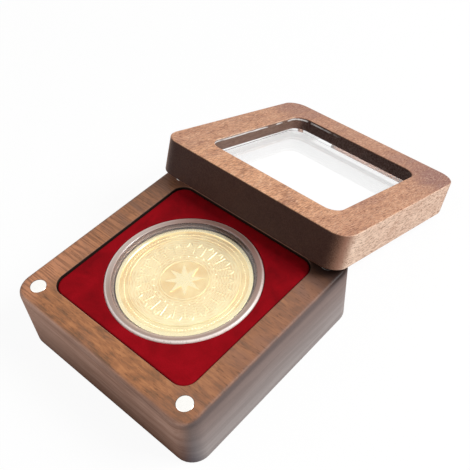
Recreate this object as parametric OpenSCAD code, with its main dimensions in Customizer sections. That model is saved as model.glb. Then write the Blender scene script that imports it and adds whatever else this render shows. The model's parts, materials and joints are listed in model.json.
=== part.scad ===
// Square wooden display case for one round coin.
// The case stands open: its lid leans on the rear edge of the case, far edge on
// the table, and the coin shows in its clear capsule in the cloth-covered insert.
// Origin at the middle of the underside, +Z up, +Y towards the leaning lid.

/* [Case] */
// Outer side of the square case and of its lid
case_side = 70; // [66:0.5:76]
// Height of the case
case_height = 21.8; // [20:0.1:24]
// Radius of the four upright corners
corner_radius = 5.9; // [5.6:0.1:7]
// Rounding of the upper outer edge of the case
top_round = 1.5; // [1:0.1:2]
// Chamfer on the other outer edges of the case and the lid
edge_chamfer = 0.3; // [0.2:0.1:0.5]
// Width of the wooden rim around the recess
rim_width = 8; // [7.6:0.1:9]
// Radius of the recess corners
recess_radius = 4.6; // [4:0.1:5.5]
// Depth of the recess below the rim
recess_depth = 12; // [11:0.5:14]
// Small chamfer on the inner edge of the rim
rim_chamfer = 0.3; // [0.2:0.1:0.5]

/* [Insert] */
// Depth of the cloth surface below the rim
cloth_drop = 0.6; // [0.5:0.1:1.5]
// Thickness of the velvet
cloth_thick = 0.8; // [0.6:0.1:1]
// Gap between the insert and the recess walls
insert_gap = 0.2; // [0.1:0.05:0.4]
// Gap between the capsule and the velvet in the round well
well_gap = 0.3; // [0.25:0.05:0.5]

/* [Magnets] */
// Diameter of a magnet
magnet_d = 4.7; // [4:0.1:5]
// Thickness of a magnet
magnet_h = 2; // [1.5:0.5:3]
// Distance of each magnet's axis from the two nearest outer faces
magnet_inset = 5.7; // [5.4:0.1:6]
// Radial gap around a magnet in its pocket
magnet_gap = 0.05; // [0.03:0.01:0.08]

/* [Lid] */
// Thickness of the lid
lid_thick = 11.6; // [10:0.1:13]
// Side of the square window
window_side = 49.4; // [46:0.2:52]
// Radius of the window corners
window_radius = 4.4; // [3.5:0.1:5]
// Thickness of the wooden lip above the clear block
lip_thick = 4.4; // [3.6:0.1:5]
// Thickness of the clear block that closes the window
pane_thick = 7; // [5:0.1:7]
// Gap between the sides of the clear block and the rebate
pane_gap = 0.2; // [0.1:0.05:0.4]
// Gap between the underside of the closed lid and the rim
closed_gap = 0.12; // [0.1:0.01:0.2]

/* [Capsule and coin] */
// Diameter of the coin
coin_d = 40; // [39.5:0.1:40]
// Thickness of the coin over its rims
coin_thick = 2.9; // [2.5:0.1:3]
// Height of the coin's rims above its fields
coin_rim_h = 0.3; // [0.2:0.05:0.4]
// Height of the coin's design above its fields
relief_h = 0.18; // [0.1:0.02:0.2]
// Outer diameter of the capsule
capsule_d = 46; // [45.6:0.1:46.4]
// Height of the closed capsule
capsule_h = 6; // [5.6:0.1:6]
// Thickness of the capsule's floor and window
capsule_wall = 1; // [0.8:0.1:1]
// Radial gap between coin and capsule wall
coin_gap = 0.2; // [0.15:0.05:0.25]
// Radial gap between the two capsule halves
half_gap = 0.1; // [0.08:0.01:0.12]

/* [Hidden] */
$fn = 96;
// A hair's breadth that keeps cutting faces from lying on each other
eps = 0.01;

recess_side = case_side - 2 * rim_width;
recess_floor = case_height - recess_depth;
cloth_top = case_height - cloth_drop;
magnet_at = case_side / 2 - magnet_inset;

// Heights of the capsule: it stands on the velvet disc at the bottom of the well
capsule_top = case_height - 0.3;
capsule_base = capsule_top - capsule_h;
well_r = capsule_d / 2 + well_gap;
coin_base = capsule_base + capsule_wall;

// The lid leans on the rounded rear edge: the line that it rocks about lies just
// above the crown of that rounding
pivot_z = case_height + closed_gap;
pivot_y = case_side / 2 - top_round + 0.055;
// Middle of the lid when it is level behind the case, with its near magnets over
// the rear magnets of the case
lid_y = 2 * magnet_at;
far_reach = lid_y + case_side / 2 - pivot_y;
// Lean at which the far lower edge, at the inner line of its chamfer, meets the table
lean = asin(pivot_z / (far_reach - edge_chamfer));

pane_top = lid_thick - lip_thick;
pane_side = recess_side - 2 * pane_gap;

// Square with rounded corners
module rounded_square(side, r) {
    square([side, side - 2 * r], center = true);
    square([side - 2 * r, side], center = true);
    for (sx = [-1, 1], sy = [-1, 1])
        translate([sx * (side / 2 - r), sy * (side / 2 - r)]) circle(r);
}

module rounded_plate(side, r, h) {
    linear_extrude(h) rounded_square(side, r);
}

// Half of a block's side view: its outer edge chamfered by c below and, above, rounded
// by e or chamfered by c when e is 0
module edge_profile(half, h, e, c) {
    polygon([[0, 0], [half - c, 0], [half, c], [half, h - max(e, c)],
        [half - max(e, c), h], [0, h]]);
    if (e > 0) translate([half - e, h - e]) intersection() {
        circle(e);
        square(e);
    }
}

// Block with upright corners r and the edge profile all round it
module rounded_block(side, r, h, e, c) {
    for (a = [0:90:270]) rotate([0, 0, a]) {
        rotate([90, 0, 0]) linear_extrude(side - 2 * r, center = true)
            edge_profile(side / 2, h, e, c);
        translate([side / 2 - r, side / 2 - r, 0]) rotate_extrude() edge_profile(r, h, e, c);
    }
}

// Cutter that widens a rounded square opening by c over its last c of height
module opening_chamfer(side, r, c) {
    q = side / 2 - r;
    for (sx = [-1, 1], sy = [-1, 1])
        translate([sx * q, sy * q, 0]) cylinder(h = c, r1 = r, r2 = r + c);
    for (a = [0:90:270]) rotate([0, 0, a]) rotate([90, 0, 0])
        linear_extrude(2 * q, center = true)
            polygon([[0, 0], [side / 2, 0], [side / 2 + c, c], [0, c]]);
}

module magnet_disc() {
    cylinder(h = magnet_h, d = magnet_d);
}

module magnet_pocket() {
    cylinder(h = magnet_h + eps, r = magnet_d / 2 + magnet_gap);
}

// Moves lid shapes, drawn level about the middle of the underside, to where they lean
module leaning() {
    translate([0, pivot_y, pivot_z]) rotate([-lean, 0, 0])
        translate([0, lid_y - pivot_y, 0]) children();
}

module case_body() {
    color("#8b5a3a") difference() {
        rounded_block(case_side, corner_radius, case_height, top_round, edge_chamfer);
        translate([0, 0, recess_floor])
            rounded_plate(recess_side, recess_radius, recess_depth + eps);
        translate([0, 0, case_height - rim_chamfer])
            opening_chamfer(recess_side, recess_radius, rim_chamfer);
        for (sx = [-1, 1], sy = [-1, 1])
            translate([sx * magnet_at, sy * magnet_at, case_height - magnet_h]) magnet_pocket();
    }
}

module insert_board() {
    color("#3b1014") difference() {
        translate([0, 0, recess_floor])
            rounded_plate(recess_side - 2 * insert_gap - 2 * cloth_thick,
                recess_radius - insert_gap - cloth_thick, cloth_top - cloth_thick - recess_floor);
        translate([0, 0, capsule_base - cloth_thick])
            cylinder(h = cloth_top, r = well_r + cloth_thick);
    }
}

// Velvet over the board: top sheet, turned down outside and into the well
module velvet_cover() {
    color("#a30f1c") difference() {
        translate([0, 0, recess_floor])
            rounded_plate(recess_side - 2 * insert_gap, recess_radius - insert_gap,
                cloth_top - recess_floor);
        difference() {
            translate([0, 0, recess_floor - eps])
                rounded_plate(recess_side - 2 * insert_gap - 2 * cloth_thick,
                    recess_radius - insert_gap - cloth_thick,
                    cloth_top - cloth_thick - recess_floor + eps);
            translate([0, 0, capsule_base]) cylinder(h = cloth_top, r = well_r + cloth_thick);
        }
        translate([0, 0, recess_floor]) cylinder(h = cloth_top, r = well_r);
    }
}

module velvet_floor() {
    color("#8e0d18") translate([0, 0, capsule_base - cloth_thick])
        cylinder(h = cloth_thick, r = well_r + cloth_thick);
}

module case_magnet(sx, sy) {
    color("#d9dadb") translate([sx * magnet_at, sy * magnet_at, case_height - magnet_h])
        magnet_disc();
}

module case_magnet_front_left() { case_magnet(-1, -1); }
module case_magnet_front_right() { case_magnet(1, -1); }
module case_magnet_rear_left() { case_magnet(-1, 1); }
module case_magnet_rear_right() { case_magnet(1, 1); }

coin_r = coin_d / 2;
cup_in = coin_r + coin_gap;
cup_out = cup_in + 1.4;
cap_in = cup_out + half_gap;
cap_out = capsule_d / 2;

// Lower half: a shallow cup with a foot ring that the upper half comes down on
module capsule_lower() {
    color("#cfd6d8", 0.5) translate([0, 0, capsule_base]) rotate_extrude()
        polygon([[0, 0], [cap_out - 0.3, 0], [cap_out, 0.3], [cap_out, capsule_wall],
            [cup_out, capsule_wall], [cup_out, capsule_h - capsule_wall - 0.6],
            [cup_in, capsule_h - capsule_wall - 0.6], [cup_in, capsule_wall],
            [0, capsule_wall]]);
}

// Upper half: window with a slightly raised rim, and a skirt over the lower half
module capsule_upper() {
    color("#dfe5e7", 0.5) translate([0, 0, capsule_base]) rotate_extrude()
        polygon([[0, capsule_h - capsule_wall - 0.3], [cap_in, capsule_h - capsule_wall - 0.3],
            [cap_in, capsule_wall], [cap_out, capsule_wall], [cap_out, capsule_h - 0.3],
            [cap_out - 0.3, capsule_h], [cup_out - 0.5, capsule_h],
            [cup_out - 0.8, capsule_h - 0.3], [0, capsule_h - 0.3]]);
}

// Outline of a star with n points at radius a and its notches at radius b
function star_points(n, a, b, turn) =
    [for (i = [0:2 * n - 1]) let (r = i % 2 == 0 ? a : b, t = turn + i * 180 / n)
        [r * cos(t), r * sin(t)]];

// Design on one face: a star in a small ring, rays round it and a large ring
module coin_design() {
    linear_extrude(relief_h + eps) {
        difference() { circle(16.4); circle(16); }
        difference() { circle(7.4); circle(6.9); }
        polygon(star_points(8, 6, 2.4, 90));
        for (i = [0:23]) rotate(i * 15) translate([9, -0.3]) square([5.6, 0.6]);
    }
}

module coin() {
    color("#e3c878") translate([0, 0, coin_base]) {
        translate([0, 0, coin_rim_h]) cylinder(h = coin_thick - 2 * coin_rim_h, r = coin_r);
        difference() {
            cylinder(h = coin_thick, r = coin_r);
            translate([0, 0, -eps]) cylinder(h = coin_thick + 2 * eps, r = coin_r - 1.5);
        }
        translate([0, 0, coin_thick - coin_rim_h - eps]) coin_design();
        mirror([0, 0, 1]) translate([0, 0, -coin_rim_h - eps]) coin_design();
    }
}

module lid_frame() {
    color("#a8745a") leaning() difference() {
        rounded_block(case_side, corner_radius, lid_thick, 0, edge_chamfer);
        translate([0, 0, -eps]) rounded_plate(recess_side, recess_radius, pane_top + eps);
        rounded_plate(window_side, window_radius, lid_thick + eps);
        translate([0, 0, lid_thick - rim_chamfer])
            opening_chamfer(window_side, window_radius, rim_chamfer);
        for (sx = [-1, 1], sy = [-1, 1])
            translate([sx * magnet_at, sy * magnet_at, -eps]) magnet_pocket();
    }
}

module window_pane() {
    color("#e6ecee", 0.4) leaning() translate([0, 0, pane_top - pane_thick])
        rounded_plate(pane_side, recess_radius - pane_gap, pane_thick);
}

module lid_magnet(sx, sy) {
    color("#d9dadb") leaning() translate([sx * magnet_at, sy * magnet_at, 0]) magnet_disc();
}

module lid_magnet_pivot() { lid_magnet(-1, -1); }
module lid_magnet_near_right() { lid_magnet(1, -1); }
module lid_magnet_far_left() { lid_magnet(-1, 1); }
module lid_magnet_far_right() { lid_magnet(1, 1); }

case_body();
insert_board();
velvet_cover();
velvet_floor();
case_magnet_front_left();
case_magnet_front_right();
case_magnet_rear_left();
case_magnet_rear_right();
capsule_lower();
capsule_upper();
coin();
lid_frame();
window_pane();
lid_magnet_pivot();
lid_magnet_near_right();
lid_magnet_far_left();
lid_magnet_far_right();
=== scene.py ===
import bpy
import bmesh
import json
import math
from mathutils import Matrix, Vector


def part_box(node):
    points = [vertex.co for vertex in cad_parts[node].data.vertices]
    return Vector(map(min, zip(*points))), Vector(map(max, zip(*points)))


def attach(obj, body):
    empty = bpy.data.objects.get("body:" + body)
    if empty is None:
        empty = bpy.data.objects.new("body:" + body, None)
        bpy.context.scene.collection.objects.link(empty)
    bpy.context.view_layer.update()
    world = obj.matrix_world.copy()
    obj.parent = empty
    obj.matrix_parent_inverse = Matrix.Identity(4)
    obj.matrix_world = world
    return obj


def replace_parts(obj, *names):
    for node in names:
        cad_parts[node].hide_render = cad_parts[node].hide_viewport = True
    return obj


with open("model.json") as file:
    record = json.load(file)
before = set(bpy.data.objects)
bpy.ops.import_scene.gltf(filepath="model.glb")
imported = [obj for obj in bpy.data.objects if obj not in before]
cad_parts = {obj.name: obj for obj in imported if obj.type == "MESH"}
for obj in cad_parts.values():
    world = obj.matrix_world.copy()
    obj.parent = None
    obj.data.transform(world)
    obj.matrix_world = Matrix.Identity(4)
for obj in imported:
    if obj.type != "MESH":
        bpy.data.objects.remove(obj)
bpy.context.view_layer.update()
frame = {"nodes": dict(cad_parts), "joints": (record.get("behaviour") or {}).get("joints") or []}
mm = 0.001
perMetre = 1000
print("frame loaded")

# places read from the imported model, so every piece sits where its solid sits
joints = {joint["name"]: joint for joint in frame["joints"]}
pivot = Vector(joints["lid_tilt"]["pos_m"])
lidUp = Vector(joints["lid_swivel"]["axis"])
lean = math.atan2(lidUp.y, lidUp.z)
magnetAt = -joints["lid_swivel"]["pos_m"][0]
lidPlace = (Matrix.Translation(pivot) @ Matrix.Rotation(-lean, 4, "X")
            @ Matrix.Translation((0, 2 * magnetAt - pivot.y, 0)))
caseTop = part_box("case_body")[1].z

# guard points beside a rounding keep the flat faces flat; a solid square closes over its hub
shaping = {"guard": 0.3 * mm, "guardShare": 0.12, "hubShare": 0.4, "weld": 1e-7, "onAxis": 1e-6, "sharp": 32}


def roundCorners(points, steps=5):
    # each point is (across, up, radius); sharp where the radius is 0
    found = []
    for i, (x, z, r) in enumerate(points):
        here = Vector((x, z))
        if r <= 0:
            found.append(here)
            continue
        back = (Vector(points[i - 1][:2]) - here).normalized()
        on = (Vector(points[(i + 1) % len(points)][:2]) - here).normalized()
        half = back.angle(on) / 2
        reach = r / math.tan(half)
        centre = here + (back + on).normalized() * (r / math.sin(half))
        start, end = here + back * reach - centre, here + on * reach - centre
        sweep = start.angle_signed(end)
        found.append(centre + start + back * r * shaping["guardShare"])
        for k in range(steps + 1):
            spot = start.copy()
            spot.rotate(Matrix.Rotation(-sweep * k / steps, 2))
            found.append(centre + spot)
        found.append(centre + end + on * r * shaping["guardShare"])
    return found


def finishMesh(mesh, name, sharp=shaping["sharp"], recalculate=True):
    if recalculate:
        bmesh.ops.remove_doubles(mesh, verts=mesh.verts, dist=shaping["weld"])
        bmesh.ops.recalc_face_normals(mesh, faces=mesh.faces)
    for face in mesh.faces:
        face.smooth = True
    for edge in mesh.edges:
        if len(edge.link_faces) == 2:
            edge.smooth = edge.calc_face_angle(0) < math.radians(sharp)
    data = bpy.data.meshes.new(name)
    mesh.to_mesh(data)
    mesh.free()
    made = bpy.data.objects.new(name, data)
    bpy.context.scene.collection.objects.link(made)
    return made


def bridge(mesh, rows, closed=False, capped=False):
    # walls between rows of points that run round the piece
    made = [[mesh.verts.new(point) for point in row] for row in rows]
    pairs = list(zip(made, made[1:])) + ([(made[-1], made[0])] if closed else [])
    for low, high in pairs:
        for i in range(len(low)):
            j = (i + 1) % len(low)
            mesh.faces.new((low[i], low[j], high[j], high[i]))
    if capped:
        mesh.faces.new(made[0])
        mesh.faces.new(made[-1])


def squareRow(half, radius, z, steps=10, between=0):
    # one rounded square, with a point just before and after each corner arc and some along each side
    row = []
    q = half - radius
    for k, (sx, sy) in enumerate(((1, 1), (-1, 1), (-1, -1), (1, -1))):
        for i in range(-1, steps + 2):
            a = math.radians(90 * k + 90 * min(max(i, 0), steps) / steps)
            off = shaping["guard"] * ((i < 0) - (i > steps))
            row.append((sx * q + radius * math.cos(a) + off * math.sin(a),
                        sy * q + radius * math.sin(a) - off * math.cos(a), z))
        # the straight side that follows this corner
        a = math.radians(90 * (k + 1))
        for i in range(between):
            t = (q - shaping["guard"]) * (1 - 2 * (i + 1) / (between + 1))
            row.append((half * math.cos(a) + t * math.sin(a), half * math.sin(a) - t * math.cos(a), z))
    return row


def squareSolid(name, profile, cornerOf, closed):
    # profile is the section from the middle outwards; cornerOf gives the corner radius at a half width
    mesh = bmesh.new()
    bridge(mesh, [squareRow(p.x, cornerOf(p.x), p.y) for p in profile], closed, capped=not closed)
    return finishMesh(mesh, name)


def lathe(name, profile, steps, sharp=shaping["sharp"]):
    # turns a closed section about the Z axis; points on the axis become poles
    mesh = bmesh.new()
    turns = [2 * math.pi * i / steps for i in range(steps)]
    rows = []
    for p in profile:
        if p.x < shaping["onAxis"]:
            rows.append([mesh.verts.new((0, 0, p.y))])
        else:
            rows.append([mesh.verts.new((p.x * math.cos(a), p.x * math.sin(a), p.y)) for a in turns])
    for low, high in zip(rows, rows[1:] + rows[:1]):
        for i in range(steps):
            corners = []
            for corner in (low[i % len(low)], low[(i + 1) % steps % len(low)],
                           high[(i + 1) % steps % len(high)], high[i % len(high)]):
                if corner not in corners:
                    corners.append(corner)
            if len(corners) > 2:
                mesh.faces.new(corners)
    return finishMesh(mesh, name, sharp)


def plainMesh(piece):
    # the piece's mesh with its modifier worked in; the modifier itself goes
    bpy.context.view_layer.update()
    data = bpy.data.meshes.new_from_object(piece.evaluated_get(bpy.context.evaluated_depsgraph_get()))
    piece.modifiers.clear()
    return data


def cut(piece, cutter):
    # takes one solid out of another
    modifier = piece.modifiers.new("cut", "BOOLEAN")
    modifier.operation, modifier.solver, modifier.object = "DIFFERENCE", "EXACT", cutter
    mesh = bmesh.new()
    mesh.from_mesh(plainMesh(piece))
    name = piece.name
    bpy.data.objects.remove(piece)
    bpy.data.objects.remove(cutter)
    return finishMesh(mesh, name, recalculate=False)


def joinMeshes(name, parts, sharp):
    mesh = bmesh.new()
    for part in parts:
        mesh.from_mesh(part.data)
        bpy.data.objects.remove(part)
    return finishMesh(mesh, name, sharp, recalculate=False)


def sign(operation, reflected=False):
    # what a sign such as + or - does: the other side stands first where it is reflected, as in 1 - mask
    def worked(self, other):
        first, second = (other, self) if reflected else (self, other)
        return self.shade.node("ShaderNodeMath", {0: first, 1: second}, operation=operation)
    return worked


class Wire:
    # a socket that is added, multiplied and so on as a number is
    def __init__(self, shade, socket):
        self.shade, self.socket = shade, socket

    def maths(self, operation, *others):
        return self.shade.node("ShaderNodeMath", dict(enumerate((self, *others))), operation=operation)

    __add__ = __radd__ = sign("ADD")
    __mul__ = __rmul__ = sign("MULTIPLY")
    __sub__, __rsub__ = sign("SUBTRACT"), sign("SUBTRACT", reflected=True)
    __truediv__, __rtruediv__ = sign("DIVIDE"), sign("DIVIDE", reflected=True)
    __pow__, __rpow__ = sign("POWER"), sign("POWER", reflected=True)
    __lt__ = sign("LESS_THAN")

    def __neg__(self):
        return 0 - self

    def __abs__(self):
        return self.maths("ABSOLUTE")

    def larger(self, other):
        return self.maths("MAXIMUM", other)

    def between(self, low, high):
        # 0 below low, 1 above high, smooth in between
        return self.shade.node("ShaderNodeMapRange", {"Value": self, "From Min": low, "From Max": high},
                               interpolation_type="SMOOTHSTEP")

    def over(self, name):
        # the same, over the span of that name in the material's settings
        return self.between(*self.shade.look["span"][name])


def weighed(weights, *wires):
    # the wires added up, each by its weight
    parts = [wire * weight for wire, weight in zip(wires, weights)]
    return sum(parts[1:], parts[0])


def distance(across, along):
    return (across * across + along * along) ** 0.5


class Shade:
    # the nodes of one material, or of the world, and its settings
    def __init__(self, name, look=None, store=bpy.data.materials, ending="ShaderNodeOutputMaterial"):
        self.look, self.owner, self.ending = look, store.new(name), ending
        self.owner.use_nodes = True
        self.tree = self.owner.node_tree
        self.tree.nodes.clear()
        self.place = self.node("ShaderNodeTexCoord", {}, "Object")

    def node(self, kind, sockets, out=0, stops=None, **settings):
        made = self.tree.nodes.new(kind)
        for key, value in settings.items():
            setattr(made, key, value)
        if stops:
            ramp = made.color_ramp
            while len(ramp.elements) < len(stops):
                ramp.elements.new(0.5)
            for element, (at, colour) in zip(ramp.elements, stops):
                element.position, element.color = at, (*colour, 1)
        for key, value in sockets.items():
            if isinstance(value, Wire):
                self.tree.links.new(value.socket, made.inputs[key])
            else:
                made.inputs[key].default_value = value
        return Wire(self, made.outputs[out]) if made.outputs else made

    def moved(self, scale=(1, 1, 1), turn=(0, 0, 0), shift=(0, 0, 0), place=None):
        return self.node("ShaderNodeMapping", {"Vector": place or self.place, "Scale": scale,
                                               "Rotation": turn, "Location": shift})

    def noise(self, scale, detail=3.0, rough=0.55, twist=0.0, place=None):
        return self.node("ShaderNodeTexNoise", {
            "Vector": place or self.place, "Scale": scale, "Detail": detail, "Roughness": rough,
            "Distortion": twist})

    def mix(self, mask, first, second, share=1.0):
        # mask times share of the second colour over the first: on a colour Mix, socket 0 is the factor,
        # 6 and 7 are the two colours, and 2 is the result
        first, second = ((*c, 1) if isinstance(c, tuple) else c for c in (first, second))
        return self.node("ShaderNodeMix", {0: mask if share == 1 else mask * share, 6: first, 7: second}, 2,
                         data_type="RGBA")

    def lay(self, mask, under, tone, share=None):
        # the tone of that name over the colour so far; the mask is scaled by the share of the tone's
        # name or of the name given, and stays whole where there is none
        return self.mix(mask, under, self.look["tone"][tone], self.look["share"].get(share or tone, 1))

    def ramp(self, value, places, *tones):
        colours = [self.look["tone"][tone] for tone in tones]
        return self.node("ShaderNodeValToRGB", {"Fac": value}, stops=list(zip(places, colours)))

    def part(self, place, axis):
        return self.node("ShaderNodeSeparateXYZ", {"Vector": place}, axis)

    def millimetres(self):
        return (self.part(self.place, axis) * perMetre for axis in "XYZ")

    def join(self, x, y, z):
        return self.node("ShaderNodeCombineXYZ", {"X": x, "Y": y, "Z": z})

    def rays(self, *kinds):
        # 1 where the ray is one of these kinds
        first, *others = (self.node("ShaderNodeLightPath", {}, f"Is {kind} Ray") for kind in kinds)
        for other in others:
            first = first.larger(other)
        return first

    def blend(self, share, first, second):
        return self.node("ShaderNodeMixShader", {0: share, 1: first, 2: second})

    def finish(self, shader):
        self.node(self.ending, {"Surface": shader})
        return self.owner

    def surface(self, height, sockets):
        bump = self.node("ShaderNodeBump", {"Height": height, "Distance": self.look["bumpDepth"],
                                            "Strength": self.look["bump"]})
        return self.finish(self.node("ShaderNodeBsdfPrincipled", {**sockets, "Normal": bump}))


def paint(piece, material):
    piece.data.materials.clear()
    piece.data.materials.append(material)
    for face in piece.data.polygons:
        face.material_index = 0


class Wood(Shade):
    # solid wood: the board's own space is in millimetres with the grain along X
    def __init__(self, name, look, toBoard=Matrix()):
        super().__init__(name, look)
        self.board = self.moved(scale=(perMetre,) * 3, turn=tuple(toBoard.to_euler()),
                                shift=tuple(toBoard.translation * perMetre))
        self.x, self.y, self.z = (self.part(self.board, axis) for axis in "XYZ")
        self.facing = self.node("ShaderNodeTexCoord", {}, "Normal")

    def figure(self, size, detail=3.0, rough=0.6, twist=0.0, shift=(0, 0, 0)):
        # noise whose patches are about size millimetres along, across and through the board
        scale = tuple(1 / length for length in size)
        return self.noise(1, detail, rough, twist, self.moved(scale=scale, shift=shift, place=self.board))

    def figures(self):
        return {name: self.figure(**settings) for name, settings in self.look["figure"].items()}

    def towards(self, direction):
        return self.node("ShaderNodeVectorMath", {0: self.facing, 1: direction}, "Value",
                         operation="DOT_PRODUCT")

    def within(self, reach):
        # 1 inside a square about the middle of the board
        return abs(self.x).larger(abs(self.y)) < reach


# spans are where a tint sets in and where it is full, in millimetres or as a share
caseLook = {
    "tone": {"deep": (0.215, 0.105, 0.055), "mid": (0.35, 0.148, 0.068), "pale": (0.47, 0.205, 0.09),
             "grey": (0.24, 0.13, 0.095), "front": (0.6, 0.27, 0.15), "rear": (0.12, 0.07, 0.052),
             "lines": (0.095, 0.045, 0.026), "pores": (0.095, 0.045, 0.026),
             "sideDark": (0.42, 0.24, 0.175), "sideMid": (0.545, 0.325, 0.245),
             "sideLight": (0.65, 0.41, 0.32), "paintedFootShade": (0.178, 0.092, 0.063),
             "endFoot": (0.405, 0.355, 0.34), "endHead": (0.28, 0.212, 0.192),
             "endCrown": (0.16, 0.12, 0.11), "endLine": (0.12, 0.095, 0.088),
             "edge": (0.105, 0.082, 0.084), "post": (0.15, 0.135, 0.16),
             "under": (0.012, 0.007, 0.007), "recess": (0.018, 0.009, 0.006)},
    "figure": {"sway": {"size": (30, 30, 30), "detail": 1},
               "streaks": {"size": (22, 1.2, 3.0), "shift": (3, 8, 1)},
               "mottle": {"size": (6.5, 2.5, 3.0), "detail": 4, "rough": 0.62, "twist": 0.7},
               "patch": {"size": (20, 9, 9), "detail": 2, "shift": (5, 2, 0)},
               "fibre": {"size": (4.5, 0.36, 0.36), "detail": 3},
               "pores": {"size": (2.2, 0.3, 0.3), "detail": 1.5, "shift": (9, 9, 9)},
               "lines": {"size": (14, 0.52, 3.0), "detail": 2.5, "shift": (1, 5, 7)}},
    "layer": {"length": 40, "depth": 2.3, "slopeX": 0.035, "slopeY": 0.03, "sway": 3.0,
              "detail": 3, "rough": 0.6, "twist": 0.4},
    "weight": {"tint": (0.5, 0.2, 0.3), "grey": (0.3, 0.4, 0.25), "side": (0.55, 0.25, 0.2),
               "ends": (0.8, 0.2), "post": (0.38, 0.35), "height": (0.5, 0.25, -0.9)},
    "tintStops": (0.41, 0.5, 0.6), "sideStops": (0.42, 0.5, 0.58),
    "span": {"pores": (0.6, 0.7), "lines": (0.5, 0.58), "greyRight": (14, 34), "greyRear": (-20, 30),
             "greyPatch": (0.48, 0.66), "left": (-30, -24), "front": (-22, 8), "rear": (2, 22),
             "side": (0.3, 0.85), "sideShade": (0.0, 20.0), "sideLight": (-36, 2), "paintedFootShade": (0.0, 3.5),
             "ends": (0.4, 0.88), "endHead": (2.0, 19.0), "endCrown": (18.5, 21.6), "endLine": (0.38, 0.6),
             "rightEdge": (33.2, 34.3), "frontEdge": (-34.3, -33.2), "edgeHeight": (18.0, 20.5),
             "edgeAlong": (-18, -4), "post": (29, 34), "postHead": (6, 19), "postFoot": (1, 7),
             "underX": (20, 27), "underY": (16, 28), "underZ": (20.3, 21.6), "recess": (21.5, 21.8),
             "shine": (0.7, 0.98)},
    "share": {"front": 0.6, "rear": 0.3, "lines": 0.45, "pores": 0.45, "sideShade": 0.78, "sideLight": 0.5,
              "paintedFootShade": 0.55, "sideRear": 0.55, "endLine": 0.24, "rightEdge": 0.28, "frontEdge": 0.16,
              "under": 0.94, "recess": 0.95},
    "recessReach": 27.15, "rough": 0.28, "roughFibre": 0.25, "roughPore": 0.15,
    "coat": 0.5, "coatRough": 0.35, "coatIndex": 1.4, "bumpDepth": 0.05 * mm, "bump": 0.6}


def caseWalnut():
    look = caseLook
    tone, weight = look["tone"], look["weight"]
    wood = Wood("case_walnut", look)
    x, y, z = wood.x, wood.y, wood.z
    grain = wood.figures()
    fibre, mottle, patch, streaks = (grain[key] for key in ("fibre", "mottle", "patch", "streaks"))
    pores = grain["pores"].over("pores")
    lines = grain["lines"].over("lines")
    # growth layers, nearly level and gently swaying
    layer = look["layer"]
    slope = z + x * layer["slopeX"] + y * layer["slopeY"] + grain["sway"] * layer["sway"]
    layerSpace = wood.join(x / layer["length"], y / layer["length"], slope / layer["depth"])
    layers = wood.noise(1, layer["detail"], layer["rough"], layer["twist"], layerSpace)
    tint = weighed(weight["tint"], mottle, streaks, fibre)
    colour = wood.ramp(tint, look["tintStops"], "deep", "mid", "pale")
    # greyer towards the right and the rear, with crisp dark lines across the left edge
    greyer = weighed(weight["grey"], x.over("greyRight"), y.over("greyRear"), patch.over("greyPatch"))
    colour = wood.lay(greyer, colour, "grey")
    left = 1 - x.over("left")
    colour = wood.lay(left * (1 - y.over("front")), colour, "front")
    colour = wood.lay(left * y.over("rear"), colour, "rear")
    colour = wood.lay(lines * left, colour, "lines")
    colour = wood.lay(pores, colour, "pores")
    # long grain on the front and rear, with painted shade that darkens it towards the foot and a painted
    # contact shadow along the foot
    rearward = wood.towards((0, 1, 0))
    long = wood.ramp(weighed(weight["side"], layers, fibre, patch), look["sideStops"],
                     "sideDark", "sideMid", "sideLight")
    # painted shade, darker towards the foot
    long = wood.lay(1 - z.over("sideShade"), long, "paintedFootShade", "sideShade")
    long = wood.lay(1 - x.over("sideLight"), long, "sideLight")
    # painted contact shadow along the foot
    long = wood.lay(1 - z.over("paintedFootShade"), long, "paintedFootShade")
    long = wood.lay(rearward.over("side"), long, "sideDark", "sideRear")
    colour = wood.mix(abs(rearward).over("side"), colour, long)
    # end grain on the left and right, with a grey painted sheen of the white table that is palest at the
    # foot, and painted shade under the top's rounded edge
    ends = abs(wood.towards((1, 0, 0))).over("ends")
    grey = wood.lay(z.over("endHead"), tone["endFoot"], "endHead")
    grey = wood.lay(z.over("endCrown"), grey, "endCrown")
    lined = wood.lay(1, grey, "endLine")
    grey = wood.mix(weighed(weight["ends"], layers, fibre).over("endLine"), lined, grey)
    colour = wood.mix(ends, colour, grey)
    # painted shade and reflection: the rounded edge along the right is dark and greyish, and so is part of
    # the front one
    edgeHeight = z.over("edgeHeight")
    colour = wood.lay(x.over("rightEdge") * edgeHeight, colour, "edge", "rightEdge")
    # the upright front right corner is greyer, the more so towards the foot
    post = weighed(weight["post"], 1 - z.over("postHead"), 1 - z.over("postFoot"))
    post = post * x.over("post") * (-y).over("post")
    colour = wood.lay(post, colour, "post")
    # painted shade and reflection on part of the front rounded edge
    frontEdge = (1 - y.over("frontEdge")) * edgeHeight * x.over("edgeAlong")
    colour = wood.lay(frontEdge, colour, "edge", "frontEdge")
    # darker at the rear right of the rim, for the shade under the lid's corner
    under = y.over("underY") * x.over("underX") * z.over("underZ")
    colour = wood.lay(under, colour, "under")
    # painted shade: the walls of the recess are darker, for the shade that falls in it
    inside = wood.within(look["recessReach"])
    colour = wood.lay(inside * (1 - z.over("recess")), colour, "recess")
    rough = fibre * look["roughFibre"] + look["rough"] + pores * look["roughPore"] + ends * look["roughPore"]
    height = weighed(weight["height"], fibre, streaks, pores)
    # only the oiled top and its roundings shine
    shine = wood.towards((0, 0, 1)).over("shine")
    return wood.surface(height, {"Base Color": colour, "Roughness": rough, "Specular IOR Level": 0.0,
                                 "Coat Weight": shine * look["coat"], "Coat Roughness": look["coatRough"],
                                 "Coat IOR": look["coatIndex"]})


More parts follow.
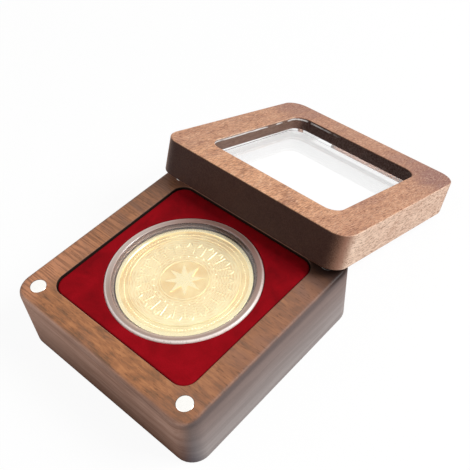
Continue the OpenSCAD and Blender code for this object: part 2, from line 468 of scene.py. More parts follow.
# the lid's board lies with its X towards the lid's near side and its Y towards the lid's right
lidLook = {
    "tone": {"deep": (0.33, 0.15, 0.082), "mid": (0.63, 0.316, 0.174), "pale": (0.81, 0.482, 0.296),
             "blush": (0.3, 0.148, 0.115), "flecks": (0.92, 0.68, 0.5), "dashes": (0.12, 0.052, 0.032),
             "sideDeep": (0.64, 0.4, 0.28), "side": (0.85, 0.61, 0.46),
             "sideNear": (1.0, 0.78, 0.6), "sideDash": (0.27, 0.13, 0.08),
             "bend": (0.235, 0.078, 0.042), "end": (0.032, 0.01, 0.007), "endPale": (0.046, 0.018, 0.013),
             "wall": (0.095, 0.06, 0.05), "leftWall": (0.17, 0.095, 0.07), "glint": (0.8, 0.78, 0.76)},
    "figure": {"mottle": {"size": (9.0, 3.4, 3.4), "detail": 3, "twist": 0.5, "shift": (2, 7, 4)},
               "patch": {"size": (24, 8, 8), "detail": 2, "shift": (3, 3, 1)},
               "fibre": {"size": (2.6, 0.36, 0.36), "detail": 3, "rough": 0.7},
               "dashes": {"size": (1.5, 0.27, 0.27), "detail": 1.5, "shift": (9, 2, 5)},
               "flecks": {"size": (1.4, 0.32, 0.32), "detail": 1.5, "shift": (40, 7, 3)}},
    "ring": {"x": -12, "y": 14, "stretch": 0.32, "sway": 3.0, "scale": 0.42, "detail": 3},
    "weight": {"tint": (0.2, 0.5, 0.3), "height": (0.6, 0.2, -0.9)},
    "tintStops": (0.41, 0.5, 0.6),
    "span": {"dashes": (0.55, 0.61), "flecks": (0.57, 0.65), "rings": (0.5, 0.58), "right": (16, 30),
             "rightWide": (4, 36), "farWide": (0, 34), "far": (14, 28), "left": (20, 30),
             "patch": (0.5, 0.66), "side": (0.35, 0.85), "sideTint": (0.42, 0.54), "sideNear": (2, 30),
             "bend": (-0.15, 0.62), "ends": (0.5, 1.02), "endsUnder": (0.05, 0.4), "under": (0.5, 0.9),
             "endPale": (0.4, 0.6), "wall": (0.42, 0.6), "windowTop": (11.0, 11.5), "seam": (0.16, 0.34),
             "glint": (0.38, 0.48), "glintRight": (-22, -4)},
    "share": {"right": 0.32, "corner": 0.35, "far": 0.48, "left": 0.3, "patch": 0.25, "flecks": 0.28,
              "rings": 0.2, "dashes": 0.5, "sideNear": 0.45, "bend": 0.82, "sideDash": 0.65, "ends": 0.97,
              "leftWall": 0.8, "window": 0.94, "glint": 0.85},
    "windowReach": 24.95, "wallFrom": 0.3, "seamAt": 11.05, "seamSway": 0.6,
    "rough": 0.34, "roughFibre": 0.25, "roughPore": 0.15, "specular": 0.15,
    "bumpDepth": 0.06 * mm, "bump": 0.7}


def lidWalnut():
    look = lidLook
    tone, weight, share, ring = (look[key] for key in ("tone", "weight", "share", "ring"))
    wood = Wood("lid_walnut", look, Matrix.Rotation(math.radians(90), 4, "Z") @ lidPlace.inverted())
    x, y, z = wood.x, wood.y, wood.z
    grain = wood.figures()
    fibre, mottle, patch = (grain[key] for key in ("fibre", "mottle", "patch"))
    dashes = grain["dashes"].over("dashes")
    flecks = grain["flecks"].over("flecks") * (1 - dashes)
    # flame-shaped rings that bend round a point towards the far right corner
    outwards = distance((x - ring["x"]) * ring["stretch"], y - ring["y"])
    ringSpace = wood.join(outwards + mottle * ring["sway"], 0, 0)
    rings = wood.noise(ring["scale"], ring["detail"], place=ringSpace)
    tint = weighed(weight["tint"], mottle, fibre, rings)
    colour = wood.ramp(tint, look["tintStops"], "deep", "mid", "pale")
    # pinker and darker towards the far right corner and the left side
    blush = y.over("right") * share["right"]
    blush = blush + y.over("rightWide") * (-x).over("farWide") * share["corner"]
    blush = blush + (-x).over("far") * share["far"] + (-y).over("left") * share["left"]
    blush = blush + patch.over("patch") * share["patch"]
    colour = wood.lay(blush, colour, "blush")
    colour = wood.lay(flecks, colour, "flecks")
    colour = wood.lay(rings.over("rings"), colour, "deep", "rings")
    colour = wood.lay(dashes, colour, "dashes")
    # the right side is paler side grain, made paler still by painted light from the right and towards its
    # near end, and painted shade turns it gradually dark round its upright corners
    side = wood.towards((1, 0, 0)).over("side")
    endwards = abs(wood.towards(tuple(lidPlace.to_3x3() @ Vector((0, 1, 0)))))
    pale = wood.lay(tint.over("sideTint"), tone["sideDeep"], "side")
    pale = wood.lay(x.over("sideNear"), pale, "sideNear")
    pale = wood.lay(endwards.over("bend"), pale, "bend")
    pale = wood.lay(dashes, pale, "sideDash")
    colour = wood.mix(side, colour, pale)
    # end grain on the near and far sides is nearly black, down to their lower edge
    under = wood.towards(tuple(lidPlace.to_3x3() @ Vector((0, 0, -1)))).over("under")
    ends = endwards.over("ends").larger(endwards.over("endsUnder") * under)
    endTone = wood.lay(fibre.over("endPale"), tone["end"], "endPale")
    colour = wood.mix(ends, colour, endTone, share["ends"])
    # dark walls round the window
    window = wood.within(look["windowReach"])
    wall = wood.lay(fibre.over("wall"), tone["end"], "wall")
    wall = wood.lay(side * (fibre + look["wallFrom"]), wall, "leftWall")
    colour = wood.mix(window * (1 - z.over("windowTop")), colour, wall, share["window"])
    # painted highlight: a broken bright glint just under the window's upper edge, towards the left
    seam = 1 - abs(z + fibre * look["seamSway"] - look["seamAt"]).over("seam")
    glint = window * seam * mottle.over("glint") * (1 - y.over("glintRight"))
    colour = wood.lay(glint, colour, "glint")
    rough = fibre * look["roughFibre"] + look["rough"] + dashes * look["roughPore"]
    height = weighed(weight["height"], fibre, mottle, dashes)
    return wood.surface(height, {"Base Color": colour, "Roughness": rough,
                                 "Specular IOR Level": look["specular"]})


caseWood = caseWalnut()
lidWood = lidWalnut()

case = {"half": 35 * mm, "corner": 5.9 * mm, "topRound": 1.5 * mm, "footRound": 0.3 * mm,
        "lipRound": 0.3 * mm, "recessHalf": 27 * mm, "recessCorner": 4.6 * mm, "recessFloor": 9.8 * mm,
        "magnetRadius": 2.35 * mm, "magnetDepth": 2 * mm, "magnetEdge": 0.18 * mm, "magnetGap": 0.05 * mm}


def cornerAt(x, inner, innerCorner):
    # the corner radius on its way from the opening's to the block's own
    share = (x - inner) / (case["half"] - inner)
    return innerCorner * (1 - share) + case["corner"] * share


def magnetPockets(z):
    # a cutter with the holes for four magnets in a face at height z
    radius = case["magnetRadius"] + case["magnetGap"]
    mesh = bmesh.new()
    for sx in (-1, 1):
        for sy in (-1, 1):
            bmesh.ops.create_cone(mesh, cap_ends=True, segments=48, radius1=radius, radius2=radius,
                                  depth=2 * case["magnetDepth"],
                                  matrix=Matrix.Translation((sx * magnetAt, sy * magnetAt, z)))
    return finishMesh(mesh, "pockets")


def makeCase():
    half, inner, floor = case["half"], case["recessHalf"], case["recessFloor"]
    hub = shaping["hubShare"] * half
    section = roundCorners([(hub, 0, 0), (half, 0, case["footRound"]), (half, caseTop, case["topRound"]),
                            (inner, caseTop, case["lipRound"]), (inner, floor, 0), (hub, floor, 0)])

    def cornerOf(x):
        if x > inner:
            return cornerAt(x, inner, case["recessCorner"])
        return case["recessCorner"] * x / inner
    return cut(squareSolid("caseBlock", section, cornerOf, closed=False), magnetPockets(caseTop))


caseBlock = makeCase()
paint(caseBlock, caseWood)
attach(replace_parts(caseBlock, "case_body"), "case")
print("case made")

lid = {"thick": 11.6 * mm, "edge": 0.38 * mm, "windowHalf": 24.7 * mm, "windowCorner": 4.4 * mm,
       "lip": 4.4 * mm, "rebateHalf": 27 * mm, "rebateEdge": 0.15 * mm}


def makeLid():
    half, inner, rebate, edge = case["half"], lid["windowHalf"], lid["rebateHalf"], lid["edge"]
    shelf = lid["thick"] - lid["lip"]
    section = roundCorners([(half, 0, edge), (half, lid["thick"], edge), (inner, lid["thick"], edge),
                            (inner, shelf, 0), (rebate, shelf, 0), (rebate, 0, lid["rebateEdge"])], steps=4)
    piece = squareSolid("lidFrame", section, lambda x: cornerAt(x, inner, lid["windowCorner"]), closed=True)
    piece = cut(piece, magnetPockets(0))
    piece.data.transform(lidPlace)
    return piece


lidFrame = makeLid()
paint(lidFrame, lidWood)
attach(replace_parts(lidFrame, "lid_frame"), "lid")
print("lid made")

nickelLook = {"tone": {"plain": (0.94, 0.93, 0.89), "bright": (1.0, 0.985, 0.945),
                       "shaded": (0.06, 0.05, 0.05)},
              "span": {"shadedX": (20, 24), "shadedY": (22, 26), "shadedZ": (21.9, 22.5)},
              "share": {"shaded": 0.9}, "cloud": 900, "scuff": 5200, "scuffStretch": (1, 0.1, 1),
              "rough": 0.14, "roughCloud": 0.1, "roughScuff": 0.06, "bumpDepth": 0.004 * mm, "bump": 0.4}


def nickel():
    look = nickelLook
    shade = Shade("nickel_plate", look)
    cloud = shade.noise(look["cloud"])
    scuff = shade.noise(look["scuff"], detail=2, place=shade.moved(scale=look["scuffStretch"]))
    x, y, z = shade.millimetres()
    # the magnet under the lid's right corner is darker, for the shade there
    shaded = x.over("shadedX") * y.over("shadedY") * (1 - z.over("shadedZ"))
    colour = shade.lay(cloud, look["tone"]["plain"], "bright")
    colour = shade.lay(shaded, colour, "shaded")
    rough = look["rough"] + cloud * look["roughCloud"] + scuff * look["roughScuff"]
    return shade.surface(scuff, {"Base Color": colour, "Metallic": 1.0, "Roughness": rough})


magnetFinish = nickel()


def makeMagnet(name, node, body, sx, sy, leaning):
    r, h, e = case["magnetRadius"], case["magnetDepth"], case["magnetEdge"]
    base = 0 if leaning else caseTop - h
    section = roundCorners([(0, base, 0), (r, base, e), (r, base + h, e), (0, base + h, 0)], steps=4)
    piece = lathe(name, section, steps=64)
    piece.data.transform(Matrix.Translation((sx * magnetAt, sy * magnetAt, 0)))
    if leaning:
        piece.data.transform(lidPlace)
    paint(piece, magnetFinish)
    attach(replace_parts(piece, node), body)


for side, sx in (("left", -1), ("right", 1)):
    for end, sy in (("front", -1), ("rear", 1)):
        makeMagnet(f"caseMagnet_{end}_{side}", f"case_magnet_{end}_{side}", "case", sx, sy, leaning=False)
for place, body, sx, sy in (("pivot", "lid_pivot", -1, -1), ("near_right", "lid", 1, -1),
                            ("far_left", "lid", -1, 1), ("far_right", "lid", 1, 1)):
    makeMagnet(f"lidMagnet_{place}", f"lid_magnet_{place}", body, sx, sy, leaning=True)
print("magnets made")

velvetLook = {"tone": {"deep": (0.175, 0.0022, 0.005), "mid": (0.285, 0.0026, 0.007),
                       "pale": (0.36, 0.0036, 0.01), "nap": (0.16, 0.002, 0.005)},
              "span": {"nap": (0.35, 0.65)}, "share": {"nap": 0.35}, "tintStops": (0.34, 0.52, 0.68),
              "mottle": {"scale": 130, "rough": 0.6, "twist": 0.6}, "wide": {"scale": 42, "detail": 2},
              "nap": {"scale": 5200, "detail": 2}, "weight": {"tint": (0.6, 0.4), "height": (0.8, 0.6)},
              "rough": 0.86, "roughNap": 0.12, "specular": 0.06, "sheen": 0.1, "sheenRough": 0.45,
              "sheenTint": (1.0, 0.1, 0.14, 1), "bumpDepth": 0.12 * mm, "bump": 0.5}


def velvet():
    look = velvetLook
    shade = Shade("crimson_velvet", look)
    mottle, wide, nap = (shade.noise(**look[key]) for key in ("mottle", "wide", "nap"))
    tint = weighed(look["weight"]["tint"], mottle, wide)
    colour = shade.ramp(tint, look["tintStops"], "deep", "mid", "pale")
    colour = shade.lay(nap.over("nap"), colour, "nap")
    return shade.surface(weighed(look["weight"]["height"], nap, mottle), {
        "Base Color": colour, "Roughness": look["rough"] + nap * look["roughNap"],
        "Specular IOR Level": look["specular"], "Sheen Weight": look["sheen"],
        "Sheen Roughness": look["sheenRough"], "Sheen Tint": look["sheenTint"]})


velvetFinish = velvet()

cloth = {"half": 26.8 * mm, "corner": 4.4 * mm, "drop": 0.6 * mm, "thick": 0.8 * mm, "skinShare": 0.9,
         "turn": 0.7 * mm, "wellTurn": 0.3 * mm, "rimFlat": 3 * mm, "wellFlat": 2.4 * mm, "sidePoints": 22,
         "wellRadius": 23.12 * mm, "floorRadius": 24.1 * mm, "floorTurn": 0.3 * mm, "wellFloor": 15.5 * mm,
         "foot": 9.8 * mm}


def makeVelvet():
    # the cloth's outer skin: up the board's side, over its top and down into the well
    top, half, well = caseTop - cloth["drop"], cloth["half"], cloth["wellRadius"]
    outside = roundCorners([(half, cloth["foot"], 0), (half, top, cloth["turn"]),
                            (half - cloth["rimFlat"], top, 0)])
    inside = roundCorners([(well + cloth["wellFlat"], top, 0), (well, top, cloth["wellTurn"]),
                           (well, cloth["wellFloor"], 0)])
    rows = [squareRow(p.x, cloth["corner"] - (half - p.x), p.y, between=cloth["sidePoints"])
            for p in outside[:-1]]
    angles = [math.atan2(y, x) for x, y, z in rows[0]]
    rows += [[(p.x * math.cos(a), p.x * math.sin(a), p.y) for a in angles] for p in inside[1:]]
    mesh = bmesh.new()
    bridge(mesh, rows)
    piece = finishMesh(mesh, "velvetCover", sharp=60, recalculate=False)
    solid = piece.modifiers.new("thickness", "SOLIDIFY")
    solid.thickness, solid.offset, solid.use_rim = cloth["thick"] * cloth["skinShare"], -1, True
    piece.data = plainMesh(piece)
    return piece


velvetCover = makeVelvet()
paint(velvetCover, velvetFinish)
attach(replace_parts(velvetCover, "velvet_cover"), "case")


def makeWellFloor():
    low, high, r = cloth["wellFloor"] - cloth["thick"], cloth["wellFloor"], cloth["floorRadius"]
    section = roundCorners([(0, low, 0), (r, low, 0), (r, high, cloth["floorTurn"]), (0, high, 0)])
    return lathe("velvetFloor", section, steps=96)


velvetFloor = makeWellFloor()
paint(velvetFloor, velvetFinish)
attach(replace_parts(velvetFloor, "velvet_floor"), "case")

boardLook = {"dark": (0.055, 0.022, 0.016), "pale": (0.12, 0.055, 0.038), "fibre": 1400,
             "rough": 0.75, "roughFibre": 0.2, "bumpDepth": 0.08 * mm, "bump": 0.5}


def fibreBoard():
    look = boardLook
    shade = Shade("fibre_board", look)
    fibre = shade.noise(look["fibre"], detail=4)
    return shade.surface(fibre, {"Base Color": shade.mix(fibre, look["dark"], look["pale"]),
                                 "Roughness": look["rough"] + fibre * look["roughFibre"]})


paint(frame["nodes"]["insert_board"], fibreBoard())
print("insert made")

acrylicLook = {"lamp": (0.93, 0.94, 0.95, 1), "index": 1.49, "smear": 160, "roughSmear": 0.02,
               "specular": 0.5}
paneLook = {"clear": (0.985, 0.99, 0.99), "clearRough": 0.0}
# the smoky ring round the coin, in millimetres: middle, nearOut and line are distances from the coin's
# middle, and near, left and far run across it; speck is a share of its noise
# line is a painted highlight round the outer crown, near and left are painted light on those sides, and far
# is painted shade on the far side
ringLook = {"clear": (1.0, 1.0, 1.0), "clearRough": 0.01, "fade": 0.2, "rise": 0.4, "lampShare": 0.6,
            "cloud": 520, "speck": 2200, "roughCloud": 0.1, "specular": 0.35,
            "coatRough": 0.1, "coatIndex": 1.5,
            "span": {"middle": (21.5, 22.0), "near": (8, 28), "nearOut": (21.2, 21.9), "line": (22.1, 22.55),
                     "speck": (0.52, 0.66), "left": (-23, -11), "far": (2, 19)},
            "share": {"near": 0.55, "speck": 0.3, "left": 0.3, "far": 0.6}}
lowerLook = {"from": 20.1, "above": 16.6, "bodyShare": 0.75, "gloss": 0.45, "coat": 0.0, "tone": {
    "inner": (0.2, 0.128, 0.096), "middle": (0.21, 0.132, 0.1), "far": (0.085, 0.05, 0.038),
    "line": (0.3, 0.195, 0.15), "speck": (0.29, 0.205, 0.16), "near": (0.42, 0.29, 0.21)}}
upperLook = {"from": 20.75, "above": 20.3, "bodyShare": 0.97, "gloss": 0.18, "coat": 0.4, "tone": {
    "inner": (0.33, 0.23, 0.19), "middle": (0.37, 0.265, 0.22), "far": (0.23, 0.095, 0.07),
    "line": (0.93, 0.84, 0.78), "speck": (0.3, 0.2, 0.165), "near": (0.72, 0.56, 0.44)}}


def acrylic(name, look):
    # clear plastic, and a see-through shader with its ray for the light of the lamps
    shade = Shade(name, look)
    smear = shade.noise(acrylicLook["smear"])
    glass = shade.node("ShaderNodeBsdfPrincipled", {
        "Base Color": shade.mix(smear, look["clear"], (1, 1, 1)),
        "Roughness": look["clearRough"] + smear * acrylicLook["roughSmear"], "IOR": acrylicLook["index"],
        "Transmission Weight": 1.0, "Specular IOR Level": acrylicLook["specular"]})
    seeThrough = shade.node("ShaderNodeBsdfTransparent", {"Color": acrylicLook["lamp"]})
    return shade, glass, seeThrough, shade.rays("Shadow")


def paneAcrylic():
    shade, glass, seeThrough, lampRay = acrylic("pane_acrylic", paneLook)
    return shade.finish(shade.blend(lampRay, glass, seeThrough))


def capsuleAcrylic(name, own):
    # clear over the coin; the thick ring round it has a smoky satin body
    look = {**ringLook, **own}
    shade, glass, seeThrough, lampRay = acrylic(name, look)
    x, y, z = shade.millimetres()
    radius = distance(x, y)
    ring = radius.between(look["from"], look["from"] + look["fade"])
    ring = ring * z.between(look["above"], look["above"] + look["rise"])
    cloud = shade.noise(look["cloud"])
    speck = shade.noise(look["speck"], detail=2).over("speck")
    tone = shade.lay(radius.over("middle"), look["tone"]["inner"], "middle")
    # painted light: paler on the near side of the ring
    tone = shade.lay((x - y).over("near") * (1 - radius.over("nearOut")), tone, "near")
    # painted highlight: a lighter line round the outer crown
    tone = shade.lay(radius.over("line"), tone, "line")
    tone = shade.lay(speck, tone, "speck")
    # painted highlight: the line is stronger on the left
    tone = shade.lay(1 - x.over("left"), tone, "line", "left")
    # painted shade: darker on the far side, under the lid
    tone = shade.lay(y.over("far"), tone, "far")
    body = shade.node("ShaderNodeBsdfPrincipled", {
        "Base Color": tone, "Roughness": look["gloss"] + cloud * look["roughCloud"],
        "IOR": acrylicLook["index"], "Specular IOR Level": look["specular"],
        "Coat Weight": look["coat"], "Coat Roughness": look["coatRough"], "Coat IOR": look["coatIndex"]})
    smoky = shade.blend(ring * look["bodyShare"], glass, body)
    return shade.finish(shade.blend(lampRay * (1 - ring * look["lampShare"]), smoky, seeThrough))


lowerFinish = capsuleAcrylic("capsule_acrylic_lower", lowerLook)
upperFinish = capsuleAcrylic("capsule_acrylic_upper", upperLook)
paneFinish = paneAcrylic()

capsule = {"base": 15.5 * mm, "height": 6 * mm, "wall": 1 * mm, "outer": 23 * mm, "cupIn": 20.2 * mm,
           "cupOut": 21.6 * mm, "cupGap": 0.6 * mm, "capIn": 21.7 * mm, "dip": 0.3 * mm, "rimStep": 0.5 * mm,
           "dipStep": 0.8 * mm, "footRound": 0.3 * mm, "crownRound": 0.9 * mm, "seamRound": 0.08 * mm,
           "lipRound": 0.2 * mm, "rootRound": 0.1 * mm, "skirtRound": 0.05 * mm, "rimRound": 0.3 * mm,
           "dipRound": 0.15 * mm}


def makeCapsule():
    c = capsule
    low, top, w = c["base"], c["base"] + c["height"], c["wall"]
    seam, cupTop, roof, window = low + w, top - w - c["cupGap"], top - w - c["dip"], top - c["dip"]
    lower = roundCorners([
        (0, low, 0), (c["outer"], low, c["footRound"]), (c["outer"], seam, c["seamRound"]),
        (c["cupOut"], seam, 0), (c["cupOut"], cupTop, c["lipRound"]), (c["cupIn"], cupTop, c["lipRound"]),
        (c["cupIn"], seam, c["rootRound"]), (0, seam, 0)], steps=4)
    upper = roundCorners([
        (0, roof, 0), (c["capIn"], roof, c["lipRound"]), (c["capIn"], seam, c["skirtRound"]),
        (c["outer"], seam, c["seamRound"]), (c["outer"], top, c["crownRound"]),
        (c["cupOut"] - c["rimStep"], top, c["rimRound"]),
        (c["cupOut"] - c["dipStep"], window, c["dipRound"]), (0, window, 0)], steps=4)
    for name, node, body, section, finish in (
            ("capsuleLower", "capsule_lower", "capsule", lower, lowerFinish),
            ("capsuleUpper", "capsule_upper", "capsule_top", upper, upperFinish)):
        piece = lathe(name, section, steps=160)
        paint(piece, finish)
        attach(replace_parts(piece, node), body)


makeCapsule()

pane = {"half": 26.8 * mm, "corner": 4.4 * mm, "top": 7.2 * mm, "thick": 7 * mm, "edge": 0.2 * mm}


def makePane():
    half, top, low = pane["half"], pane["top"], pane["top"] - pane["thick"]
    hub = shaping["hubShare"] * half
    section = roundCorners([(hub, low, 0), (half, low, pane["edge"]), (half, top, pane["edge"]),
                            (hub, top, 0)], steps=3)
    piece = squareSolid("windowPane", section, lambda x: pane["corner"] * min(1, x / half), closed=False)
    piece.data.transform(lidPlace)
    return piece


windowPane = makePane()
paint(windowPane, paneFinish)
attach(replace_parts(windowPane, "window_pane"), "lid")
print("clear pieces made")

coin = {"radius": 20 * mm, "base": 16.5 * mm, "thick": 2.9 * mm, "rimWidth": 1.4 * mm, "field": 0.3 * mm,
        "fillet": 0.12 * mm, "edge": 0.14 * mm, "reeds": 180, "reedDepth": 0.08 * mm, "relief": 0.18 * mm}
goldLook = {
    "tone": {"satinDeep": (0.88, 0.64, 0.314), "satin": (0.965, 0.772, 0.418), "lines": (1.0, 0.87, 0.55),
             "proud": (1.0, 0.87, 0.535), "right": (1.0, 0.925, 0.57)},
    "span": {"warm": (0.4, 0.62), "proud": (0.02, 0.09), "rim": (18.5, 18.7), "fieldIn": (7.6, 7.9),
             "fieldOut": (15.6, 15.9), "lines": (0.3, 1.0), "right": (8, 26)},
    "share": {"lines": 0.85, "right": 0.5}, "warm": 150, "grain": 3800, "waves": 12, "swing": 1.9,
    "pitch": 6.6, "rough": 0.3, "polish": 0.08, "height": (0.9, 0.1), "bumpDepth": 0.04 * mm, "bump": 0.5}


def gold():
    # polished where the design stands proud, satin and a little deeper in the field
    look = goldLook
    shade = Shade("coin_gold", look)
    warm, grain = (shade.noise(look[key], detail=2) for key in ("warm", "grain"))
    x, y, z = shade.millimetres()
    radius = distance(x, y)
    middle = (coin["base"] + coin["thick"] / 2) / mm
    above = abs(z - middle) - (coin["thick"] / 2 - coin["field"]) / mm
    proud = above.over("proud").larger(radius.over("rim"))
    # engine-turned lines in the field: two waves that cross as they run round
    wave = (y.maths("ARCTAN2", x) * look["waves"]).maths("SINE") * look["swing"]
    first = (radius * look["pitch"] + wave).maths("SINE")
    second = (radius * look["pitch"] - wave).maths("SINE")
    field = radius.over("fieldIn") * (1 - radius.over("fieldOut")) * (1 - proud)
    turned = first.larger(second).over("lines") * field
    satin = shade.lay(warm.over("warm"), look["tone"]["satinDeep"], "satin")
    colour = shade.lay(proud, shade.lay(turned, satin, "lines"), "proud")
    # painted highlight: the gold is paler towards the near right
    colour = shade.lay((x - y).over("right"), colour, "right")
    rough = look["rough"] - proud * look["polish"] + grain * look["polish"]
    return shade.surface(weighed(look["height"], turned, grain),
                         {"Base Color": colour, "Metallic": 1.0, "Roughness": rough})


goldFinish = gold()


def ringTree():
    # repeats one small shape on a circle, each turned outwards and then by Turn; Start swings the circle
    tree = bpy.data.node_groups.new("ringOfShapes", "GeometryNodeTree")
    face = tree.interface
    names = (("Shape", "NodeSocketObject"), ("Count", "NodeSocketInt"), ("Radius", "NodeSocketFloat"),
             ("Turn", "NodeSocketFloat"), ("Start", "NodeSocketFloat"), ("Finish", "NodeSocketMaterial"))
    for name, kind in names:
        face.new_socket(name=name, in_out="INPUT", socket_type=kind)
    face.new_socket(name="Geometry", in_out="OUTPUT", socket_type="NodeSocketGeometry")
    made = {}

    def add(kind, label, links, operation=None):
        # each link is (own socket, (node it comes from, that node's socket))
        made[label] = node = tree.nodes.new(kind)
        if operation:
            node.operation = operation
        for index, (source, socket) in links:
            tree.links.new(made[source].outputs[socket], node.inputs[index])
        return node

    add("NodeGroupInput", "in", [])
    add("GeometryNodeMeshCircle", "circle", [("Vertices", ("in", "Count")), ("Radius", ("in", "Radius"))])
    add("GeometryNodeInputIndex", "index", [])
    step = add("ShaderNodeMath", "step", [(1, ("in", "Count"))], "DIVIDE")
    step.inputs[0].default_value = 2 * math.pi
    add("ShaderNodeMath", "angle", [(0, ("index", 0)), (1, ("step", 0)), (2, ("in", "Turn"))],
        "MULTIPLY_ADD")
    add("ShaderNodeCombineXYZ", "turned", [("Z", ("angle", 0))])
    add("GeometryNodeObjectInfo", "shape", [("Object", ("in", "Shape"))])
    add("GeometryNodeInstanceOnPoints", "copies", [
        ("Points", ("circle", 0)), ("Instance", ("shape", "Geometry")), ("Rotation", ("turned", 0))])
    add("ShaderNodeCombineXYZ", "startTurn", [("Z", ("in", "Start"))])
    add("GeometryNodeTransform", "swung", [("Geometry", ("copies", 0)), ("Rotation", ("startTurn", 0))])
    add("GeometryNodeRealizeInstances", "real", [("Geometry", ("swung", 0))])
    add("GeometryNodeSetMaterial", "finished", [("Geometry", ("real", 0)), ("Material", ("in", "Finish"))])
    add("NodeGroupOutput", "out", [(0, ("finished", 0))])
    return tree


shapesOnRing = ringTree()


def ringOf(shape, count, radius, turn=0.0, start=0.0):
    holder = bpy.data.objects.new("ring", bpy.data.meshes.new("ring"))
    bpy.context.scene.collection.objects.link(holder)
    modifier = holder.modifiers.new("ring", "NODES")
    modifier.node_group = shapesOnRing
    sockets = {item.name: item.identifier for item in shapesOnRing.interface.items_tree
               if item.in_out == "INPUT"}
    for name, value in (("Shape", shape), ("Count", count), ("Radius", radius), ("Turn", turn),
                        ("Start", start), ("Finish", goldFinish)):
        modifier[sockets[name]] = value
    holder.data = plainMesh(holder)
    bpy.data.objects.remove(shape)
    return holder


# the coin's raised design; each shape's foot is sunk a little into the field
design = {
    "sink": 0.02 * mm, "crown": 0.7, "ridgeTop": 0.6, "sharp": 50, "starSharp": 5,
    "bead": {"length": 0.6 * mm, "width": 0.6 * mm, "height": 0.12 * mm, "sections": 4, "ribs": 6},
    "ray": {"length": 5.4 * mm, "width": 0.5 * mm, "height": coin["relief"] * 0.6, "point": 0.7, "ribs": 6},
    "leaf": {"length": 3.0 * mm, "width": 0.75 * mm, "height": coin["relief"] * 0.6, "point": 1.4},
    "seed": {"length": 0.8 * mm, "width": 0.6 * mm, "height": coin["relief"] * 0.7, "sections": 4, "ribs": 6},
    "reed": {"length": 2.2 * mm, "width": 0.42 * mm, "height": coin["reedDepth"], "sections": 4, "ribs": 4,
             "point": 0.3},
    "outerRidge": {"radius": 16.2 * mm, "width": 0.4 * mm, "height": coin["relief"] * 0.7},
    "innerRidge": {"radius": 7.15 * mm, "width": 0.5 * mm, "height": coin["relief"] * 0.7},
    "star": {"points": 8, "outer": 6.0 * mm, "inner": 2.4 * mm, "height": coin["relief"]},
    "beads": {"count": 120, "radius": 17.5 * mm},
    "rays": {"count": 24, "radius": 11.8 * mm},
    "leaves": {"count": 24, "radius": 13.6 * mm},
    "leafTurn": math.radians(24), "leafStart": math.radians(5.6),
    "seeds": {"count": 24, "radius": 9.0 * mm, "start": math.radians(7.5)}}


def dome(name, length, width, height, sections=6, ribs=10, point=1.0):
    # a low raised shape: pointed at both ends along X where point is above 1
    mesh = bmesh.new()
    turns = [math.pi * k / ribs for k in range(ribs + 1)]
    rows = []
    for i in range(sections + 1):
        t = i / sections
        x = (t - 0.5) * length
        w = width / 2 * math.sin(math.pi * t) ** (0.5 * point) if 0 < i < sections else 0
        crown = height * (w / (width / 2)) ** design["crown"]
        rows.append([mesh.verts.new((x, w * math.cos(a), crown * math.sin(a) - design["sink"]))
                     for a in turns])
    for low, high in zip(rows, rows[1:]):
        for k in range(ribs):
            mesh.faces.new((low[k], high[k], high[k + 1], low[k + 1]))
        mesh.faces.new((low[0], low[-1], high[-1], high[0]))
    bmesh.ops.remove_doubles(mesh, verts=mesh.verts, dist=shaping["weld"])
    return finishMesh(mesh, name, sharp=design["sharp"])


def starShape(name, points, outer, inner, height):
    # faceted star: each arm is two slopes that meet in a ridge
    mesh = bmesh.new()
    peak = mesh.verts.new((0, 0, height))
    foot = mesh.verts.new((0, 0, -design["sink"]))
    low, ring = [], []
    for i in range(2 * points):
        a = math.pi * i / points
        r = inner if i % 2 else outer
        low.append(mesh.verts.new((r * math.cos(a), r * math.sin(a), -design["sink"])))
        ring.append(mesh.verts.new((r * math.cos(a), r * math.sin(a), height / 2)))
    for i in range(2 * points):
        j = (i + 1) % (2 * points)
        mesh.faces.new((peak, ring[i], ring[j]))
        mesh.faces.new((ring[i], low[i], low[j], ring[j]))
        mesh.faces.new((foot, low[j], low[i]))
    return finishMesh(mesh, name, sharp=design["starSharp"])


def makeRidge(radius, width, height):
    foot, top = width / 2, width / 2 * design["ridgeTop"]
    return lathe("ridge", [Vector((radius - foot, -design["sink"])), Vector((radius + foot, -design["sink"])),
                           Vector((radius + top, height)), Vector((radius - top, height))], steps=144)


def coinFace():
    d = design
    parts = [ringOf(dome("bead", **d["bead"]), **d["beads"]),
             makeRidge(**d["outerRidge"]), makeRidge(**d["innerRidge"]),
             ringOf(dome("ray", **d["ray"]), **d["rays"])]
    for name, way in (("leafLeft", 1), ("leafRight", -1)):
        parts.append(ringOf(dome(name, **d["leaf"]), **d["leaves"], turn=way * d["leafTurn"],
                            start=way * d["leafStart"]))
    parts += [ringOf(dome("seed", **d["seed"]), **d["seeds"]), starShape("star", **d["star"])]
    return parts


def makeCoin():
    low, top, field, fillet = coin["base"], coin["base"] + coin["thick"], coin["field"], coin["fillet"]
    rim, outer = coin["radius"] - coin["rimWidth"], coin["radius"] - coin["reedDepth"]
    section = roundCorners([
        (0, low + field, 0), (rim, low + field, fillet), (rim, low, fillet), (outer, low, coin["edge"]),
        (outer, top, coin["edge"]), (rim, top, fillet), (rim, top - field, fillet),
        (0, top - field, 0)], steps=4)
    body = lathe("coinBody", section, steps=180, sharp=40)
    reed = dome("reed", **design["reed"])
    reed.data.transform(Matrix.Rotation(math.radians(90), 4, "Y"))
    edge = ringOf(reed, coin["reeds"], outer)
    edge.data.transform(Matrix.Translation((0, 0, low + coin["thick"] / 2)))
    parts = [body, edge]
    upwards = Matrix.Translation((0, 0, top - field))
    downwards = Matrix.Translation((0, 0, low + field)) @ Matrix.Rotation(math.pi, 4, "X")
    for place in (upwards, downwards):
        for part in coinFace():
            part.data.transform(place)
            parts.append(part)
    return joinMeshes("coinPiece", parts, sharp=40)


coinPiece = makeCoin()
paint(coinPiece, goldFinish)
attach(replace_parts(coinPiece, "coin"), "coin")
print("coin made")

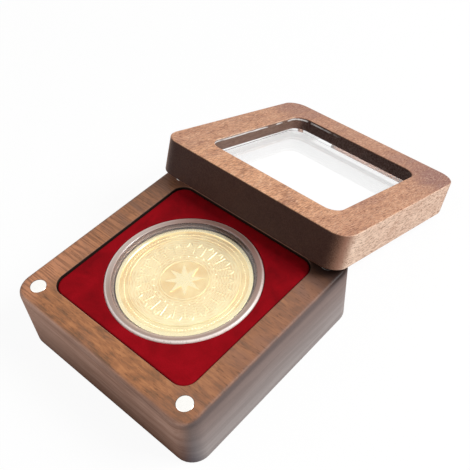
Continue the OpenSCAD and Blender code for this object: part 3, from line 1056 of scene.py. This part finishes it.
studio = {"tableSize": 4, "tableDrop": 0.2 * mm, "table": (0.5, 0.5, 0.51), "tableSeen": (0.92, 0.92, 0.92),
          "glow": 0.93, "glowThrough": 0.15, "fill": 0.32, "background": 1.0, "aim": (0, 0.02, 0)}
lamps = {"key": {"at": (0.5, 0.37, 0.6), "power": 7.0, "size": 0.4},
         "fill": {"at": (-0.35, -0.45, 0.6), "power": 1.2, "size": 0.6}}
view = {"at": (0.10461, -0.08137, 0.1795), "turn": (40.0703, 2.3641, 41.2977), "lens": 55.144,
        "sensor": 36, "shift": (-0.0278, 0.0663), "near": 0.01, "far": 20}
white = (1, 1, 1, 1)


def makeTable():
    # the table keeps the object's shadow, and glows white to the camera, in mirrors and through glass
    mesh = bmesh.new()
    bmesh.ops.create_grid(mesh, x_segments=1, y_segments=1, size=studio["tableSize"])
    table = finishMesh(mesh, "tableTop")
    table.location.z = -studio["tableDrop"]
    shade = Shade("white_table")
    direct, through = shade.rays("Camera", "Glossy"), shade.rays("Transmission")
    tone = shade.mix(direct.larger(through), studio["table"], studio["tableSeen"])
    matt = shade.node("ShaderNodeBsdfDiffuse", {"Color": tone})
    lit = shade.node("ShaderNodeEmission", {"Color": white, "Strength": studio["background"]})
    glow = (direct * studio["glow"]).larger(through * studio["glowThrough"])
    paint(table, shade.finish(shade.blend(glow, matt, lit)))


def makeWorld():
    # dim as a light on the object, white where it is seen
    sky = Shade("studio", store=bpy.data.worlds, ending="ShaderNodeOutputWorld")
    fill, seen = (sky.node("ShaderNodeBackground", {"Color": white, "Strength": studio[key]})
                  for key in ("fill", "background"))
    bpy.context.scene.world = sky.finish(sky.blend(sky.rays("Camera", "Glossy", "Transmission"), fill, seen))


def makeLamps():
    for name, lamp in lamps.items():
        light = bpy.data.lights.new(name, "AREA")
        light.energy, light.size = lamp["power"], lamp["size"]
        holder = bpy.data.objects.new(name, light)
        holder.location = lamp["at"]
        aim = Vector(studio["aim"]) - holder.location
        holder.rotation_euler = aim.to_track_quat("-Z", "Y").to_euler()
        bpy.context.scene.collection.objects.link(holder)


def makeCamera():
    camera = bpy.data.objects.new("camera", bpy.data.cameras.new("camera"))
    bpy.context.scene.collection.objects.link(camera)
    camera.location = view["at"]
    camera.rotation_euler = [math.radians(a) for a in view["turn"]]
    camera.data.lens, camera.data.sensor_width = view["lens"], view["sensor"]
    camera.data.shift_x, camera.data.shift_y = view["shift"]
    camera.data.clip_start, camera.data.clip_end = view["near"], view["far"]
    bpy.context.scene.camera = camera


makeTable()
makeWorld()
makeLamps()
makeCamera()
bpy.context.scene.view_settings.view_transform = "Standard"
print("studio made")
